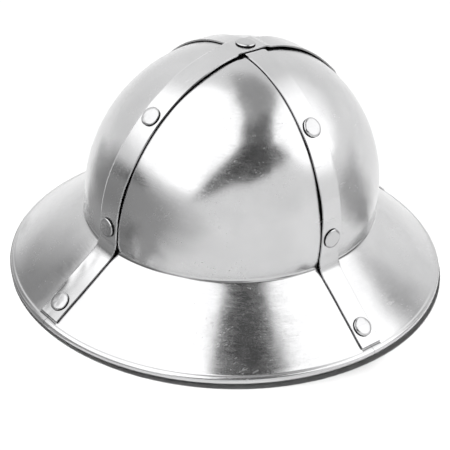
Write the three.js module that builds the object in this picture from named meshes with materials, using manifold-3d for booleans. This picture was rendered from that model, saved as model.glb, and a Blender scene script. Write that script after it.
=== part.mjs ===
// Kettle hat: four steel plates with a rolled rim, two crossing straps and thirteen rivets.
// Millimetres, +Z up, front towards -Y. The origin is the middle of the plane the rim rests on.
import * as THREE from 'three';
import { mergeVertices } from 'three/addons/utils/BufferGeometryUtils.js';
import Module from 'manifold-3d';

const wasm = await Module();
wasm.setup();

// Sheet and clearances
const SHEET = 1.5;
const STRAP_THICKNESS = 1.2;
const GAP = 0.3;

// Crown: half a spheroid that stands on a short wall.
// Half lengths run front to back (Y), half widths side to side (X).
const CROWN_HALF_LENGTH = 115.2;
const CROWN_HALF_WIDTH = 104.5;
const CROWN_TOP = 174.8;
const WIDEST_HEIGHT = 59.3;
const CROWN_RISE = CROWN_TOP - WIDEST_HEIGHT;

// Corner where the crown's wall turns out into the brim
const CORNER_HALF_LENGTH = 114.4;
const CORNER_HALF_WIDTH = 103;
const CORNER_HEIGHT = 47;
const CORNER_LEG = 4;

// Rolled rim: a round bead along the brim's edge
const RIM_HALF_LENGTH = 170;
const RIM_HALF_WIDTH = 160;
const ROLL_RADIUS = 3.4;
const ROLL_SEAT = ROLL_RADIUS / 2;
const ROLL_SIDES = 12;
const ROLL_START = (2 * Math.PI) / 3;

// Straps: the front-to-back one crosses over the side-to-side one. It climbs away from the crown
// between two polar angles and lies level over the lower strap.
const OVER_WIDTH = 19.5;
const UNDER_WIDTH = 18;
const BEND_RADIUS = 18;
const STRAP_END_GAP = 1;
const CROSSING_FLAT = UNDER_WIDTH / 2 + 1;
const CROSSING_RISE = STRAP_THICKNESS + GAP;
const CLIMB_START = THREE.MathUtils.degToRad(37.5);
const CLIMB_END = Math.asin(CROSSING_FLAT / CROWN_HALF_LENGTH);

// Rivets: a low domed head outside and a small closed head inside
const HEAD_RADIUS = 7.2;
const HEAD_EDGE = 1;
const HEAD_RISE = 1.4;
const SHANK_RADIUS = 2.5;
const TAIL_RADIUS = 4.5;
const TAIL_HEIGHT = 1.4;
const TAIL_GAP = 0.7;
const DRILL_GRIPS = 4;

// Fineness of the facets
const ROUND_STEPS = 56;
const CROWN_STEPS = 12;
const BEND_STEPS = 4;
const CORNER_STEPS = 3;
const RIVET_SIDES = 14;
const DOME_STEPS = 3;
const DRILL_SIDES = 12;
const WELD_DISTANCE = 1e-4;

// The four strap arms and their rivets: the polar angle of the upper one on the crown in
// degrees, the height of the lower one, and how far down the brim the last one sits
const ARMS = [
  { side: 'front', axis: 'length', sign: -1, upperAngle: 44.8, lowerHeight: 64.6, brimShare: 0.777 },
  { side: 'right', axis: 'width', sign: 1, upperAngle: 44, lowerHeight: 70.3, brimShare: 0.762 },
  { side: 'back', axis: 'length', sign: 1, upperAngle: 49, lowerHeight: 64.6, brimShare: 0.777 },
  { side: 'left', axis: 'width', sign: -1, upperAngle: 49, lowerHeight: 70.3, brimShare: 0.762 },
];

// Points of the outer surface carry both sections at once: x is the half width, y the half
// length and z the height
const corner = new THREE.Vector3(CORNER_HALF_WIDTH, CORNER_HALF_LENGTH, CORNER_HEIGHT);
const brimEnd = new THREE.Vector3(
  RIM_HALF_WIDTH - ROLL_RADIUS,
  RIM_HALF_LENGTH - ROLL_RADIUS,
  2 * ROLL_RADIUS,
);
const brimSlope = (corner.z - brimEnd.z) / (brimEnd.y - corner.y);
const brimCosine = 1 / Math.hypot(1, brimSlope);
const sheetDrop = SHEET / brimCosine;

function crownPoint(angle, inset) {
  const half = Math.sin(angle);
  return new THREE.Vector3(
    (CROWN_HALF_WIDTH - inset) * half,
    (CROWN_HALF_LENGTH - inset) * half,
    WIDEST_HEIGHT + (CROWN_RISE - inset) * Math.cos(angle),
  );
}

// Crown from its widest line up to the hole for the top rivet
function crownRows(inset) {
  const rows = [];
  for (let step = CROWN_STEPS; step > 0; step -= 1) {
    rows.push(crownPoint((step / CROWN_STEPS) * (Math.PI / 2), inset));
  }
  const hole = SHANK_RADIUS + GAP;
  rows.push(new THREE.Vector3(hole, hole, CROWN_TOP - inset));
  return rows;
}

// Rounded corner between the wall and the brim
function cornerRows(point, wallTop, brimFoot) {
  const upper = point.clone().lerp(wallTop, CORNER_LEG / point.distanceTo(wallTop));
  const lower = point.clone().lerp(brimFoot, CORNER_LEG / point.distanceTo(brimFoot));
  return new THREE.QuadraticBezierCurve3(lower, point, upper).getPoints(CORNER_STEPS);
}

// Rolled bead from the brim's underside, round the outside, up to the brim's top face
function rollRows() {
  const rows = [];
  const turn = (2 * Math.PI) / ROLL_SIDES;
  const reach = ROLL_RADIUS / Math.cos(turn / 2);
  for (let side = 1; side < ROLL_SIDES; side += 1) {
    const angle = ROLL_START + turn * (side - 0.5);
    const along = reach * Math.cos(angle);
    const up = reach * Math.sin(angle);
    rows.push(new THREE.Vector3(brimEnd.x + along, brimEnd.y + along, ROLL_RADIUS + up));
  }
  return rows;
}

function shellRows() {
  const innerWall = crownPoint(Math.PI / 2, SHEET);
  const innerCorner = new THREE.Vector3(
    corner.x - SHEET,
    corner.y - SHEET,
    corner.z + SHEET * brimSlope - sheetDrop,
  );
  const innerFoot = new THREE.Vector3(
    brimEnd.x - ROLL_SEAT,
    brimEnd.y - ROLL_SEAT,
    brimEnd.z + ROLL_SEAT * brimSlope - sheetDrop,
  );
  const outerWall = crownPoint(Math.PI / 2, 0);
  const inside = [...cornerRows(innerCorner, innerWall, innerFoot), ...crownRows(SHEET)].reverse();
  const outside = [...cornerRows(corner, outerWall, brimEnd), ...crownRows(0)];
  const rows = [...inside, innerFoot, ...rollRows(), brimEnd, ...outside];
  rows.push(rows[0]);
  return rows;
}

// Closed meshes as solids that can be cut, and back again
function solidFrom(geometry) {
  const bare = geometry.index ? geometry.toNonIndexed() : geometry.clone();
  bare.deleteAttribute('normal');
  bare.deleteAttribute('uv');
  const merged = mergeVertices(bare, WELD_DISTANCE);
  const corners = merged.index.array;
  const triangles = [];
  for (let first = 0; first < corners.length; first += 3) {
    const [a, b, c] = corners.slice(first, first + 3);
    if (a !== b && b !== c && c !== a) triangles.push(a, b, c);
  }
  return new wasm.Manifold(new wasm.Mesh({
    numProp: 3,
    vertProperties: new Float32Array(merged.attributes.position.array),
    triVerts: new Uint32Array(triangles),
  }));
}

function geometryFrom(solid) {
  const mesh = solid.getMesh();
  const geometry = new THREE.BufferGeometry();
  geometry.setAttribute('position', new THREE.BufferAttribute(mesh.vertProperties, 3));
  geometry.setIndex(new THREE.BufferAttribute(mesh.triVerts, 1));
  geometry.computeVertexNormals();
  return geometry;
}

// Whole shell: the section swept round, with each ring squeezed to its own half width
function shellSolid() {
  const rows = shellRows();
  const outline = rows.map((row) => new THREE.Vector2(row.y, row.z));
  const geometry = new THREE.LatheGeometry(outline, ROUND_STEPS);
  geometry.rotateX(Math.PI / 2);
  const place = geometry.attributes.position;
  for (let index = 0; index < place.count; index += 1) {
    const row = rows[index % rows.length];
    place.setX(index, place.getX(index) * (row.x / row.y));
  }
  return solidFrom(geometry);
}

// Section of one strap, as distance from the middle and height, raised above the shell by lift
// and, near the top, by its share of crossingRise
function strapLine(axis, lift, crossingRise) {
  const across = axis === 'length' ? 'y' : 'x';
  const wall = crownPoint(Math.PI / 2, -lift)[across];
  const slope = (corner.z - brimEnd.z) / (brimEnd[across] - corner[across]);
  const raise = lift * Math.hypot(1, slope);
  const brimHeight = (reach) => corner.z + raise - slope * (reach - corner[across]);
  const turn = Math.PI / 2 - Math.atan(slope);
  const radius = BEND_RADIUS - lift;
  const centre = new THREE.Vector2(wall + radius, brimHeight(wall) + radius * Math.tan(turn / 2));
  const line = [];
  const end = brimEnd[across] - STRAP_END_GAP;
  line.push(new THREE.Vector2(end, brimHeight(end)));
  for (let step = 0; step <= BEND_STEPS; step += 1) {
    const angle = Math.PI + turn * (1 - step / BEND_STEPS);
    line.push(new THREE.Vector2(
      centre.x + radius * Math.cos(angle),
      centre.y + radius * Math.sin(angle),
    ));
  }
  for (let step = CROWN_STEPS; step > 0; step -= 1) {
    const angle = (step / CROWN_STEPS) * (Math.PI / 2);
    const share = Math.max((CLIMB_START - angle) / (CLIMB_START - CLIMB_END), 0);
    const point = crownPoint(angle, -lift - share * crossingRise);
    line.push(new THREE.Vector2(point[across], point.z));
  }
  const top = CROWN_TOP + lift + crossingRise;
  if (crossingRise > 0) line.push(new THREE.Vector2(CROSSING_FLAT, top));
  line.push(new THREE.Vector2(0, top));
  return line;
}

function wholeLine(half) {
  const mirrored = half.slice(0, -1).reverse().map((point) => new THREE.Vector2(-point.x, point.y));
  return [...half, ...mirrored];
}

function strapSolid(axis, width, crossingRise) {
  const under = wholeLine(strapLine(axis, GAP, crossingRise));
  const over = wholeLine(strapLine(axis, GAP + STRAP_THICKNESS, crossingRise));
  const outline = new THREE.Shape([...under, ...over.reverse()]);
  const geometry = new THREE.ExtrudeGeometry(outline, { depth: width, bevelEnabled: false });
  geometry.translate(0, 0, -width / 2);
  geometry.rotateX(Math.PI / 2);
  if (axis === 'length') geometry.rotateZ(Math.PI / 2);
  return solidFrom(geometry);
}

// Where the rivets sit: a point on the strap's top face and the way the head looks
function armStations({ side, axis, sign, upperAngle, lowerHeight, brimShare }) {
  const across = axis === 'length' ? 'y' : 'x';
  const half = axis === 'length' ? CROWN_HALF_LENGTH : CROWN_HALF_WIDTH;
  const lift = GAP + STRAP_THICKNESS;
  const slope = (corner.z - brimEnd.z) / (brimEnd[across] - corner[across]);
  const onCrown = (angle) => ({
    reach: half * Math.sin(angle),
    height: WIDEST_HEIGHT + CROWN_RISE * Math.cos(angle),
    out: new THREE.Vector2(Math.sin(angle) / half, Math.cos(angle) / CROWN_RISE).normalize(),
  });
  const onBrim = (share) => ({
    reach: THREE.MathUtils.lerp(corner[across], brimEnd[across], share),
    height: THREE.MathUtils.lerp(corner.z, brimEnd.z, share),
    out: new THREE.Vector2(slope, 1).normalize(),
  });
  const stations = {
    upper: onCrown(THREE.MathUtils.degToRad(upperAngle)),
    lower: onCrown(Math.acos((lowerHeight - WIDEST_HEIGHT) / CROWN_RISE)),
    brim: onBrim(brimShare),
  };
  const turned = (reach, height) => {
    const place = new THREE.Vector3(0, 0, height);
    place[across] = sign * reach;
    return place;
  };
  return Object.entries(stations).map(([level, { reach, height, out }]) => {
    const normal = turned(out.x, out.y);
    const point = turned(reach, height).addScaledVector(normal, lift);
    return { name: `rivet_${side}_${level}`, normal, point, grip: lift + SHEET };
  });
}

const topStation = {
  name: 'rivet_top',
  normal: new THREE.Vector3(0, 0, 1),
  point: new THREE.Vector3(0, 0, CROWN_TOP + GAP + STRAP_THICKNESS + CROSSING_RISE),
  grip: GAP + STRAP_THICKNESS + CROSSING_RISE + SHEET,
};
const stations = [topStation, ...ARMS.flatMap(armStations)];

const upward = new THREE.Vector3(0, 0, 1);
function turnTo(normal) {
  return new THREE.Quaternion().setFromUnitVectors(upward, normal);
}

// Holes for the rivet shanks through straps and plate edges
function drillSolid() {
  const radius = (SHANK_RADIUS + GAP) / Math.cos(Math.PI / DRILL_SIDES);
  const cutters = stations.map(({ point, normal, grip }) => {
    const depth = DRILL_GRIPS * grip;
    const geometry = new THREE.CylinderGeometry(radius, radius, depth, DRILL_SIDES);
    geometry.rotateX(Math.PI / 2);
    geometry.applyQuaternion(turnTo(normal));
    geometry.translate(point.x, point.y, point.z);
    return solidFrom(geometry);
  });
  return cutters.reduce((all, cutter) => all.add(cutter));
}

function rivetGeometry(grip) {
  const foot = -grip - TAIL_GAP;
  const outline = [
    new THREE.Vector2(0, foot - TAIL_HEIGHT),
    new THREE.Vector2(TAIL_RADIUS, foot),
    new THREE.Vector2(SHANK_RADIUS, foot),
    new THREE.Vector2(SHANK_RADIUS, GAP),
    new THREE.Vector2(HEAD_RADIUS, GAP),
  ];
  for (let step = 0; step <= DOME_STEPS; step += 1) {
    const angle = (step / DOME_STEPS) * (Math.PI / 2);
    const radius = step === DOME_STEPS ? 0 : HEAD_RADIUS * Math.cos(angle);
    outline.push(new THREE.Vector2(radius, GAP + HEAD_EDGE + HEAD_RISE * Math.sin(angle)));
  }
  const geometry = new THREE.LatheGeometry(outline, RIVET_SIDES);
  geometry.rotateX(Math.PI / 2);
  return geometryFrom(solidFrom(geometry));
}

// Each piece has its own steel finish
function steelMesh(name, geometry, color, roughness) {
  const material = new THREE.MeshStandardMaterial({ color, roughness, metalness: 1, flatShading: true });
  const mesh = new THREE.Mesh(geometry, material);
  mesh.name = name;
  return mesh;
}

const PLATE_STEEL = { color: 0xd6d7d9, roughness: 0.22 };
const STRAP_STEEL = { color: 0xdadbdd, roughness: 0.25 };
const RIVET_STEEL = { color: 0xe0e1e2, roughness: 0.2 };

const hat = new THREE.Group();
const drill = drillSolid();

// Plates: quarters of the shell that meet under the straps
const QUARTERS = [
  { name: 'plate_front_right', x: 1, y: -1 },
  { name: 'plate_back_right', x: 1, y: 1 },
  { name: 'plate_back_left', x: -1, y: 1 },
  { name: 'plate_front_left', x: -1, y: -1 },
];
const shell = shellSolid().subtract(drill);
const quarterSize = 2 * RIM_HALF_LENGTH;
const quarterMiddle = quarterSize / 2 + GAP / 2;
for (const { name, x, y } of QUARTERS) {
  const quarter = new THREE.BoxGeometry(quarterSize, quarterSize, quarterSize);
  quarter.translate(x * quarterMiddle, y * quarterMiddle, CROWN_TOP / 2);
  const plate = shell.intersect(solidFrom(quarter));
  hat.add(steelMesh(name, geometryFrom(plate), PLATE_STEEL.color, PLATE_STEEL.roughness));
}

// Straps
const STRAPS = [
  { name: 'strap_front_to_back', axis: 'length', width: OVER_WIDTH, rise: CROSSING_RISE },
  { name: 'strap_side_to_side', axis: 'width', width: UNDER_WIDTH, rise: 0 },
];
for (const { name, axis, width, rise } of STRAPS) {
  const strap = strapSolid(axis, width, rise).subtract(drill);
  hat.add(steelMesh(name, geometryFrom(strap), STRAP_STEEL.color, STRAP_STEEL.roughness));
}

// Rivets
for (const { name, point, normal, grip } of stations) {
  const rivet = steelMesh(name, rivetGeometry(grip), RIVET_STEEL.color, RIVET_STEEL.roughness);
  rivet.position.copy(point);
  rivet.quaternion.copy(turnTo(normal));
  hat.add(rivet);
}

export default hat;
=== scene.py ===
"""Kettle hat of polished steel: four plates with a rolled rim, two crossing straps and
thirteen rivets, in a small white studio. Metres, +Z up, the hat's front towards -Y."""

import math

import bmesh
import bpy
from bpy.props import FloatProperty, FloatVectorProperty, PointerProperty
from mathutils import Matrix, Vector


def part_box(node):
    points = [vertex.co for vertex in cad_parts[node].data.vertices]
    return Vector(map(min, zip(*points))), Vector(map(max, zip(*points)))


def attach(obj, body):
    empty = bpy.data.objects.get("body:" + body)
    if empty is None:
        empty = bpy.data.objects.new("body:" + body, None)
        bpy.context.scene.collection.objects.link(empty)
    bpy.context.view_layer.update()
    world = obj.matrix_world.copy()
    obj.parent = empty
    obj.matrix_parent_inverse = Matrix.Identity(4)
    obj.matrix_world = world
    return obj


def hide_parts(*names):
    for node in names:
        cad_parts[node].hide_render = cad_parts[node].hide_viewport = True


bl_info = {
    "name": "Kettle Hat",
    "version": (1, 0, 0),
    "blender": (4, 5, 0),
    "location": "View3D > Sidebar > Kettle Hat",
    "description": "Builds a riveted steel kettle hat and the studio it is seen in",
    "category": "Add Mesh",
}

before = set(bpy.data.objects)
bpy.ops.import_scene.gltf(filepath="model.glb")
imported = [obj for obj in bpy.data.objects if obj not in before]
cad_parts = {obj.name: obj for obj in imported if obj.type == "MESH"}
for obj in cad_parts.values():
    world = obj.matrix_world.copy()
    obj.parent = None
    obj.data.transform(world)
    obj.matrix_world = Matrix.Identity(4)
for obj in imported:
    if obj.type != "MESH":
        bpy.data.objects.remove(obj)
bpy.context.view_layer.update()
RIM_RIGHT = max(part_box(node)[1].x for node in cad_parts)
RIM_BACK = max(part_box(node)[1].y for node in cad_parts)
BODY = "root"
MM = 0.001

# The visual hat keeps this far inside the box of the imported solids.
INSIDE_BOX = 0.05 * MM

# Place of each axis in a row of the shell and in a vertex
PART = {"X": 0, "Y": 1}

# Fineness of the meshes
ROUND_STEPS = 72
CROWN_STEPS = 66
WALL_STEPS = 8
CORNER_STEPS = 8
BRIM_STEPS = 22
CREASE_STEPS = 4
ROLL_STEPS = 30
BEND_STEPS = 12
UPRIGHT_STEPS = 2
CROSSING_STEPS = 12
LEVEL_STEPS = 4
STRAP_COLUMNS = 11
RIVET_STEPS = 56
DOME_STEPS = 16
TAIL_STEPS = 8

# Vertices nearer to each other than this are merged after a spin.
PLATE_WELD = 0.001 * MM
RIVET_WELD = 0.01 * MM

# Edges below these angles are shaded smooth, and a strap's edges above the last get an arris.
SMOOTH_ANGLE = math.radians(32)
STRAP_SMOOTH_ANGLE = math.radians(20)
ARRIS_ANGLE = math.radians(50)

# Angle round the roll at which the sheet's tucked edge ends
TUCKED_EDGE = math.radians(129) - 2 * math.pi

# The brim is even up to this many radii of the roll, and as uneven as the crown from three times
# that height.
CALM_RIM = 3

# Painted shade in the crease above the brim: its line above the corner and its reach to each side,
# as shares of the corner's leg
CREASE_SHADE_ABOVE = 0.1
CREASE_SHADE_REACH = 0.3

# Power of the cosine in a rivet head's outline: 1 is an ellipse, less has a flatter middle
HEAD_FLATNESS = 0.42

# How much narrower a head is underneath, as a share of its upright edge
HEAD_UNDERCUT = 0.25

# Faces of a head that look up less than this get painted shade for the gap under its edge.
STEEPEST_UNSHADED = 0.45

# Quarters of the shell: the side of the hat that each plate lies on, as signs of X and Y
PLATES = {
    "plate_front_right": (1, -1),
    "plate_back_right": (1, 1),
    "plate_back_left": (-1, 1),
    "plate_front_left": (-1, -1),
}

# Strap arms and their rivets: the axis and sign of the arm, the polar angle of the upper rivet
# on the crown in degrees, the height of the lower one, and how far down the brim the last one
# sits, as a share of the brim.
ARMS = {
    "front": {"axis": "Y", "sign": -1, "upper": 44.8, "lower": 64.6 * MM, "brim": 0.777},
    "right": {"axis": "X", "sign": 1, "upper": 44.0, "lower": 70.3 * MM, "brim": 0.762},
    "back": {"axis": "Y", "sign": 1, "upper": 49.0, "lower": 64.6 * MM, "brim": 0.777},
    "left": {"axis": "X", "sign": -1, "upper": 49.0, "lower": 70.3 * MM, "brim": 0.762},
}

# Largest bow of each strap off the crown, between its upper and lower rivets. A skew above 1
# moves it towards the lower one.
BOWS = {"Y": 0.85 * MM, "X": 1.3 * MM}
BOW_SKEW = 1.7

# The upper strap rises off the crown towards the crossing, up to this share of the lower strap's
# height, before it bends up over it. It is level until this far past the lower strap's edges.
CLIMB_LIMIT = 0.62
LEVEL_MARGIN = 1 * MM

# Thickness left at each strap's left or back edge, which is filed down more on the upper strap
FILED_EDGES = {"Y": 0.45 * MM, "X": 1.0 * MM}

# The upper strap's left edge is hammered up to this share of the corner's height, and the waves
# fade out over this share of its width.
HAMMERED_TOP = 0.9
HAMMERED_WIDTH = 0.6

# The top of a strap's end reaches at least this far past its underside.
END_TOP = 0.22 * MM

# Width of one uneven place where the straps were cut, bent and hammered and the rivets set
CUT_EDGE_SIZE = 26 * MM
BENT_STRAP_SIZE = 22 * MM
HAMMERED_EDGE_SIZE = 7 * MM
SET_HEAD_SIZE = 3.2 * MM


def length_property(name, description, default):
    return FloatProperty(
        name=name, description=description, default=default, min=0.0, unit="LENGTH", precision=5
    )


def angle_property(name, description, degrees):
    return FloatProperty(
        name=name, description=description, default=math.radians(degrees), unit="ROTATION"
    )


def share_property(name, description, default):
    return FloatProperty(
        name=name, description=description, default=default, min=0.0, max=1.0, subtype="FACTOR"
    )


def light_property(name, description, default):
    return FloatProperty(name=name, description=description, default=default, min=0.0)


def colour_property(name, description, default):
    return FloatVectorProperty(
        name=name, description=description, default=default, size=3, min=0.0, max=1.0,
        subtype="COLOR",
    )


class HatSizes(bpy.types.PropertyGroup):
    """Sizes of the plates, straps and rivets."""

    sheet: length_property("Sheet", "Thickness of the four plates", 1.5 * MM)
    gap: length_property("Gap", "Clearance between pieces that touch", 0.3 * MM)
    crown_half_length: length_property("Crown half length", "From the middle to the front", 115.2 * MM)
    crown_half_width: length_property("Crown half width", "From the middle to the side", 104.5 * MM)
    crown_top: length_property("Crown top", "Height of the plates' top", 174.8 * MM)
    widest_height: length_property("Widest height", "Height of the crown's widest line", 59.3 * MM)
    corner_half_length: length_property(
        "Corner half length", "From the middle to the foot of the wall at the front", 115.0 * MM
    )
    corner_half_width: length_property(
        "Corner half width", "From the middle to the foot of the wall at the side", 104.2 * MM
    )
    corner_height: length_property("Corner height", "Height of the wall's foot", 47.6 * MM)
    corner_leg: length_property("Corner leg", "Length of the bend beside the corner", 2.2 * MM)
    rim_half_length: length_property(
        "Rim half length", "From the middle to the rim's back", RIM_BACK - INSIDE_BOX
    )
    rim_half_width: length_property(
        "Rim half width", "From the middle to the rim's side", RIM_RIGHT - INSIDE_BOX
    )
    roll_radius: length_property("Roll radius", "Outer radius of the rolled rim", 3.4 * MM)
    crease_leg: length_property("Crease leg", "Length of the crease above the roll", 1.1 * MM)
    beaten_depth: length_property("Beaten depth", "Unevenness that the hammer left", 0.22 * MM)
    beaten_size: length_property("Beaten size", "Width of one uneven place", 34.0 * MM)
    strap_thickness: length_property("Strap thickness", "Thickness of both straps", 1.2 * MM)
    strap_seat: length_property("Strap seat", "Air left under a strap on the crown", 0.2 * MM)
    over_width: length_property("Upper strap width", "Width of the front to back strap", 19.5 * MM)
    under_width: length_property("Lower strap width", "Width of the side to side strap", 18.0 * MM)
    bend_radius: length_property("Bend radius", "Radius of the strap above the corner", 18.0 * MM)
    strap_end_gap: length_property("Strap end gap", "From the strap's end to the roll", 1.0 * MM)
    strap_arris: length_property("Strap arris", "Width of the bevel along the edges", 0.09 * MM)
    hammered_edge: length_property(
        "Hammered edge", "Waves in the upper strap's left edge on the brim", 1.5 * MM
    )
    # Width of the painted shade lines along the straps' edges and ends on the plates
    strap_shade_reach: length_property("Shading reach", "How far dirt spreads from the straps", 0.9 * MM)
    end_slope: length_property("End slope", "How far the straps' ends are cut back", 0.8 * MM)
    edge_wander: length_property("Edge wander", "How far the cut edges wander", 0.7 * MM)
    climb_start: angle_property(
        "Climb start", "Polar angle where the upper strap starts to leave the crown", 37.5
    )
    climb_end: angle_property(
        "Climb end", "Polar angle where it bends up over the lower strap", 8.0
    )
    head_radius: length_property("Head radius", "Radius of the rivet heads", 7.2 * MM)
    head_edge: length_property("Head edge", "Height of the heads' upright edge", 0.75 * MM)
    head_rise: length_property("Head rise", "Height of the dome above the edge", 1.4 * MM)
    shank_radius: length_property("Shank radius", "Radius of the rivet shanks", 2.5 * MM)
    tail_radius: length_property("Tail radius", "Radius of the closed heads inside", 4.5 * MM)
    tail_height: length_property("Tail height", "Height of the closed heads inside", 1.4 * MM)


class HatFinish(bpy.types.PropertyGroup):
    """Colours and polish of the steel."""

    bright: colour_property("Bright steel", "Polished face", (0.64, 0.64, 0.645))
    dull: colour_property("Dull steel", "Face where the polish is thinner", (0.55, 0.55, 0.555))
    rivet_bright: colour_property("Bright rivet", "Polished rivet head", (0.58, 0.58, 0.585))
    rivet_dull: colour_property("Dull rivet", "Head where the polish is thinner", (0.48, 0.48, 0.485))
    # Painted shade: near-black steel under the straps and on the rivet heads' edges
    shadowed: colour_property("Shadowed steel", "Steel that was left dark", (0.012, 0.012, 0.012))
    # Painted shade: the dark lines in the crease above the brim and along the straps' edges and ends
    painted_shade: colour_property("Shade", "Shading above the brim and by the straps", (0.03, 0.03, 0.03))
    polish_fine: share_property("Fine polish", "Roughness of the best polished places", 0.15)
    polish_worn: share_property("Worn polish", "Roughness of the most rubbed places", 0.22)
    shade_roughness: share_property("Edge roughness", "Roughness of the sheared steel", 0.65)


class HatStudio(bpy.types.PropertyGroup):
    """Camera, floor and light."""

    azimuth: angle_property("Azimuth", "Camera's turn from the front to the hat's right", 47.296)
    elevation: angle_property("Elevation", "Camera's angle above the floor", 31.912)
    roll: angle_property("Roll", "Camera's turn about its own line of sight", 4.828)
    distance: length_property("Distance", "From the camera to the point it aims at", 942.709 * MM)
    aim: FloatVectorProperty(
        name="Aim", description="Point that the camera aims at", size=3,
        default=(16.275 * MM, -19.979 * MM, 41.459 * MM), subtype="TRANSLATION",
    )
    lens: FloatProperty(
        name="Lens", description="Focal length in millimetres", default=101.055, unit="CAMERA"
    )
    paper: colour_property("Paper", "Floor", (0.8, 0.8, 0.8))
    surround: light_property("Surround", "Brightness of the white room", 1.0)
    softbox: light_property("Softbox", "Brightness of the soft boxes", 1.9)
    floor_lamp: light_property("Floor lamp", "Light of the lamp over the floor", 4.8)


def raise_unless(state, what):
    if not state:
        raise RuntimeError(what)


# Sections of the shell. A row carries both sections at once: x is the half width, y the half
# length and z the height.
def crown_rise(sizes):
    return sizes.crown_top - sizes.widest_height


def crown_half(sizes, axis):
    return sizes.crown_half_length if axis == "Y" else sizes.crown_half_width


def crown_row(sizes, angle):
    swell = math.sin(angle)
    return Vector((
        sizes.crown_half_width * swell,
        sizes.crown_half_length * swell,
        sizes.widest_height + crown_rise(sizes) * math.cos(angle),
    ))


def corner_row(sizes):
    return Vector((sizes.corner_half_width, sizes.corner_half_length, sizes.corner_height))


def brim_end_row(sizes):
    return Vector((
        sizes.rim_half_width - sizes.roll_radius,
        sizes.rim_half_length - sizes.roll_radius,
        2 * sizes.roll_radius,
    ))


def brim_slope(sizes, axis):
    """How far the brim falls for each metre outwards along the axis."""
    corner = corner_row(sizes)
    brim_end = brim_end_row(sizes)
    part = PART[axis]
    return (corner.z - brim_end.z) / (brim_end[part] - corner[part])


def roll_row(sizes, angle):
    along = sizes.roll_radius * math.cos(angle)
    middle = brim_end_row(sizes)
    return Vector((
        middle.x + along,
        middle.y + along,
        sizes.roll_radius * (1 + math.sin(angle)),
    ))


def straight_rows(start, end, steps):
    """Rows after start, up to and with end."""
    return [start.lerp(end, step / steps) for step in range(1, steps + 1)]


def bent_rows(start, corner, end, steps):
    """Rows of a rounded corner after start, up to and with end."""
    rows = []
    for step in range(1, steps + 1):
        share = step / steps
        rows.append(start.lerp(corner, share).lerp(corner.lerp(end, share), share))
    return rows


def towards(point, other, distance):
    return point + (other - point).normalized() * distance


def plate_rows(sizes):
    """The sheet's outside from the hole for the top rivet down to the edge tucked into the roll."""
    hole = math.asin((sizes.shank_radius + sizes.gap) / sizes.crown_half_length)
    spread = math.pi / 2 - hole
    rows = [crown_row(sizes, hole + spread * step / CROWN_STEPS) for step in range(CROWN_STEPS + 1)]
    corner = corner_row(sizes)
    brim_end = brim_end_row(sizes)
    upright = rows[-1].copy()
    upright.z = (rows[-1].z + corner.z) / 2
    wall_foot = towards(corner, upright, sizes.corner_leg)
    brim_head = towards(corner, brim_end, sizes.corner_leg)
    rows += bent_rows(rows[-1], upright, wall_foot, WALL_STEPS)
    rows += bent_rows(wall_foot, corner, brim_head, CORNER_STEPS)
    brim_foot = towards(brim_end, corner, sizes.crease_leg)
    rows += straight_rows(brim_head, brim_foot, BRIM_STEPS)
    first = math.pi / 2 - sizes.crease_leg / sizes.roll_radius
    rows += bent_rows(brim_foot, brim_end, roll_row(sizes, first), CREASE_STEPS)
    for step in range(1, ROLL_STEPS + 1):
        rows.append(roll_row(sizes, first + (TUCKED_EDGE - first) * step / ROLL_STEPS))
    return rows


# Modelling steps that the pieces share
def start_piece(name):
    """A new mesh of one vertex at the origin, open in edit mode."""
    bpy.ops.object.select_all(action="DESELECT")
    bpy.ops.mesh.primitive_plane_add(size=MM, location=(0, 0, 0))
    piece = bpy.context.object
    piece.name = name
    piece.data.name = name
    bpy.ops.object.mode_set(mode="EDIT")
    bpy.ops.mesh.select_mode(type="VERT")
    bpy.ops.mesh.select_all(action="SELECT")
    bpy.ops.mesh.merge(type="CENTER")
    return piece


def draw_line(points):
    """Moves the one vertex to the first point and extrudes it through the others."""
    bpy.ops.transform.translate(value=points[0])
    for here, there in zip(points, points[1:]):
        bpy.ops.mesh.extrude_vertices_move(TRANSFORM_OT_translate={"value": there - here})


def select_vertices(piece, wanted):
    """Selects the vertices whose indices are wanted, in edit mode."""
    mesh = bmesh.from_edit_mesh(piece.data)
    mesh.verts.ensure_lookup_table()
    bpy.ops.mesh.select_all(action="DESELECT")
    for index in wanted:
        mesh.verts[index].select = True
    mesh.select_flush_mode()
    bmesh.update_edit_mesh(piece.data)


def face_outwards(piece, outward):
    """Recalculates the normals and turns them all if they look against outward(centre)."""
    bpy.ops.mesh.select_all(action="SELECT")
    bpy.ops.mesh.normals_make_consistent(inside=False)
    mesh = bmesh.from_edit_mesh(piece.data)
    agreement = sum(
        face.calc_area() * face.normal.dot(outward(face.calc_center_median()))
        for face in mesh.faces
    )
    if agreement < 0:
        bpy.ops.mesh.flip_normals()


def only(piece):
    """Makes the piece the one selected and active object."""
    bpy.ops.object.select_all(action="DESELECT")
    piece.select_set(True)
    bpy.context.view_layer.objects.active = piece


def add_modifier(piece, kind, **settings):
    """Adds a modifier with these settings and applies it."""
    only(piece)
    bpy.ops.object.modifier_add(type=kind)
    modifier = piece.modifiers[-1]
    for key, value in settings.items():
        setattr(modifier, key, value)
    bpy.ops.object.modifier_apply(modifier=modifier.name)


def copy_of(piece, name):
    only(piece)
    bpy.ops.object.duplicate(linked=False)
    twin = bpy.context.object
    twin.name = name
    twin.data.name = name
    return twin


def set_materials(piece, materials):
    """Gives the piece these materials and keeps which of them each face has."""
    faces = [face.material_index for face in piece.data.polygons]
    piece.data.materials.clear()
    for material in materials:
        piece.data.materials.append(material)
    piece.data.polygons.foreach_set("material_index", faces)


def finish_piece(piece, node, materials, smooth_angle=SMOOTH_ANGLE):
    """Smooths the piece, gives it its materials and ties it to the frame."""
    only(piece)
    bpy.ops.object.shade_smooth_by_angle(angle=smooth_angle)
    set_materials(piece, materials)
    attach(piece, BODY)
    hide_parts(node)


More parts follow.
